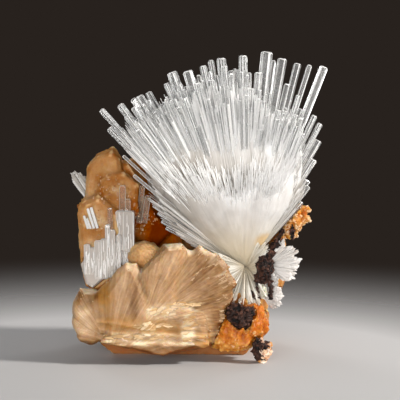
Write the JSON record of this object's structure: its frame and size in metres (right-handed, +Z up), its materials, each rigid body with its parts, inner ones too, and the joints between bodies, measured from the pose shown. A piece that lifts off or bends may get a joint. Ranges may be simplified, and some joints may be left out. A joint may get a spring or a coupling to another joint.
{
  "type": "scolecite on stilbite mineral specimen",
  "caption": "Fan-shaped spray of clear white needle crystals on a mass of tan bladed stilbite with dark basalt, cut flat to stand on a shelf.",
  "frame": {"origin": "middle of the flat underside's height, below the middle of the bounding box", "axes": "+Z up, the longest side; +Y away from the front, the shortest side; +X to the right as seen from the front"},
  "size_m": [0.0764, 0.0494, 0.0902],
  "materials": {
    "scolecite_needles": "vitreous to silky, clear at the tips",
    "scolecite_clear": "vitreous",
    "scolecite_white": "silky to satin",
    "stilbite_tan": "pearly satin",
    "stilbite_pale": "pearly satin",
    "stilbite_orange": "sugary",
    "basalt": "rough, pitted",
    "pale_green": "sugary"
  },
  "bodies": {
    "root": {"scolecite_spray": "scolecite_needles", "scolecite_left_columns": "scolecite_clear", "scolecite_prism_pair": "scolecite_clear", "scolecite_sliver_long": "scolecite_clear", "scolecite_sliver_short": "scolecite_clear", "scolecite_side_blades": "scolecite_white", "scolecite_right_fans": "scolecite_white", "stilbite_wall": "stilbite_tan", "stilbite_sheaf": "stilbite_pale", "stilbite_ball": "stilbite_pale", "stilbite_orange_base": "stilbite_orange", "stilbite_orange_cap": "stilbite_orange", "basalt_vein": "basalt", "basalt_lower_lump": "basalt", "basalt_foot": "basalt", "basalt_cap_strip": "basalt", "pale_grains": "pale_green"}
  },
  "joints": []
}
